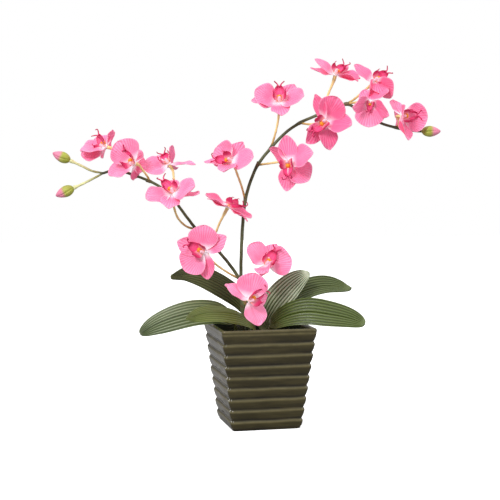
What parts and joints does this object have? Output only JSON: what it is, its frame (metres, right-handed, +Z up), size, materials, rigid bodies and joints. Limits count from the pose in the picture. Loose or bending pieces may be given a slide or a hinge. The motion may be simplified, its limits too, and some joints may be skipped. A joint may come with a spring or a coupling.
{
  "type": "artificial potted orchid",
  "caption": "Artificial moth orchid with two arching stems of pink blooms and broad ribbed leaves, set in foam and moss in a square ribbed glazed pot.",
  "frame": {"origin": "centre of the pot's flat base", "axes": "+Z up; X and Y square to the pot's sides, +Y towards the back of the arrangement"},
  "size_m": [0.5017, 0.1728, 0.5027],
  "materials": {
    "glazed_pot": "dark olive-brown glossy glaze, paler where it breaks over the rib crests",
    "foam": "open-cell floral foam",
    "moss": "dark dried moss",
    "leaf": "moulded ribbed leaf, satin olive green",
    "stem": "wrapped stem, olive brown, pale straw on the flower stalks",
    "petal": "printed fabric, pink with a pale middle",
    "lip": "moulded, hot pink with cream and orange",
    "bud": "moulded, green with a pink tip"
  },
  "bodies": {
    "root": {"pot": "glazed_pot", "foam_block": "foam", "moss_cover": "moss", "leaf_far_left": "leaf", "leaf_front_left": "leaf", "leaf_upper_left": "leaf", "leaf_upright": "leaf", "leaf_back_right": "leaf", "leaf_right": "leaf", "left_spike": "stem", "right_spike": "stem", "flower_01_petals": "petal", "flower_01_lip": "lip", "flower_02_petals": "petal", "flower_02_lip": "lip", "flower_03_petals": "petal", "flower_03_lip": "lip", "flower_04_petals": "petal", "flower_04_lip": "lip", "flower_05_petals": "petal", "flower_05_lip": "lip", "flower_06_petals": "petal", "flower_06_lip": "lip", "flower_07_petals": "petal", "flower_07_lip": "lip", "flower_08_petals": "petal", "flower_08_lip": "lip", "flower_09_petals": "petal", "flower_09_lip": "lip", "flower_10_petals": "petal", "flower_10_lip": "lip", "flower_11_petals": "petal", "flower_11_lip": "lip", "flower_12_petals": "petal", "flower_12_lip": "lip", "flower_13_petals": "petal", "flower_13_lip": "lip", "flower_14_petals": "petal", "flower_14_lip": "lip", "flower_15_petals": "petal", "flower_15_lip": "lip", "flower_16_petals": "petal", "flower_16_lip": "lip", "bud_upper_left": "bud", "bud_lower_left": "bud", "bud_right": "bud"}
  },
  "joints": []
}
